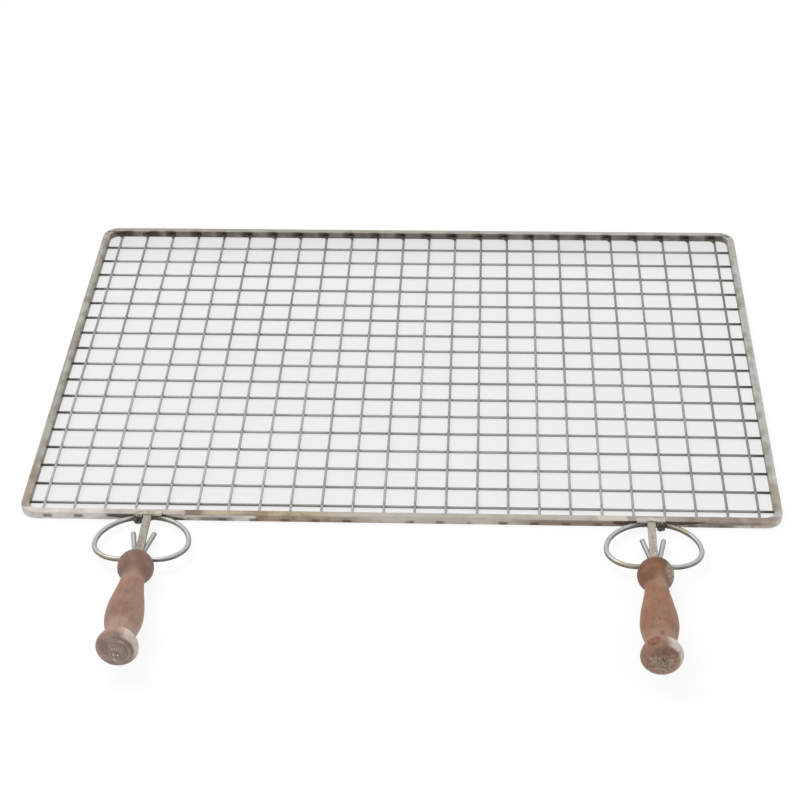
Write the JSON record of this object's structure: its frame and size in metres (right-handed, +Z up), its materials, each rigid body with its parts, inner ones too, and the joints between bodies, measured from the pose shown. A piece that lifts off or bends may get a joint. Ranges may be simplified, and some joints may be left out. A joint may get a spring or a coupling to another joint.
{
  "type": "grill grate",
  "caption": "Flat welded-wire grill grate in a bent square-bar frame, with front rings that hold removable turned wooden handles.",
  "frame": {"origin": "on the ground plane, at the middle of the underside of the whole grate, handles included", "axes": "+Z up out of the mesh, +Y from the handles to the back rail, +X to the right seen from the handles"},
  "size_m": [0.612, 0.6379, 0.0407],
  "materials": {
    "frame_steel": "satin, heat-tinted brown beside the welds",
    "mesh_steel": "satin drawn wire",
    "weld_steel": "dull, oxidised",
    "ring_steel": "satin drawn wire",
    "plate_steel": "satin flat bar, slightly rough",
    "grip_wood": "weathered, worn, matt"
  },
  "bodies": {
    "grate": {"frame": "frame_steel", "front_back_wire_01": "mesh_steel", "front_back_wire_02": "mesh_steel", "front_back_wire_03": "mesh_steel", "front_back_wire_04": "mesh_steel", "front_back_wire_05": "mesh_steel", "front_back_wire_06": "mesh_steel", "front_back_wire_07": "mesh_steel", "front_back_wire_08": "mesh_steel", "front_back_wire_09": "mesh_steel", "front_back_wire_10": "mesh_steel", "front_back_wire_11": "mesh_steel", "front_back_wire_12": "mesh_steel", "front_back_wire_13": "mesh_steel", "front_back_wire_14": "mesh_steel", "front_back_wire_15": "mesh_steel", "front_back_wire_16": "mesh_steel", "front_back_wire_17": "mesh_steel", "front_back_wire_18": "mesh_steel", "front_back_wire_19": "mesh_steel", "front_back_wire_20": "mesh_steel", "front_back_wire_21": "mesh_steel", "front_back_wire_22": "mesh_steel", "front_back_wire_23": "mesh_steel", "front_back_wire_24": "mesh_steel", "cross_wire_01": "mesh_steel", "cross_wire_02": "mesh_steel", "cross_wire_03": "mesh_steel", "cross_wire_04": "mesh_steel", "cross_wire_05": "mesh_steel", "cross_wire_06": "mesh_steel", "cross_wire_07": "mesh_steel", "cross_wire_08": "mesh_steel", "cross_wire_09": "mesh_steel", "cross_wire_10": "mesh_steel", "cross_wire_11": "mesh_steel", "cross_wire_12": "mesh_steel", "cross_wire_13": "mesh_steel", "cross_wire_14": "mesh_steel", "cross_wire_15": "mesh_steel", "cross_wire_16": "mesh_steel", "cross_wire_17": "mesh_steel", "back_welds": "weld_steel", "front_welds": "weld_steel", "left_welds": "weld_steel", "right_welds": "weld_steel", "left_ring": "ring_steel", "left_ring_weld": "weld_steel", "right_ring": "ring_steel", "right_ring_weld": "weld_steel"},
    "left_handle": {"left_hook_plate": "plate_steel", "left_tang": "plate_steel", "left_grip": "grip_wood"},
    "right_handle": {"right_hook_plate": "plate_steel", "right_tang": "plate_steel", "right_grip": "grip_wood"}
  },
  "joints": [
    {"name": "left_handle_slide", "type": "slide", "parent": "grate", "child": "left_handle", "axis": [0.0209, -0.9952, 0.0958], "range_m": [0, 0.016]},
    {"name": "right_handle_slide", "type": "slide", "parent": "grate", "child": "right_handle", "axis": [-0.0209, -0.9952, 0.0958], "range_m": [0, 0.016]}
  ]
}
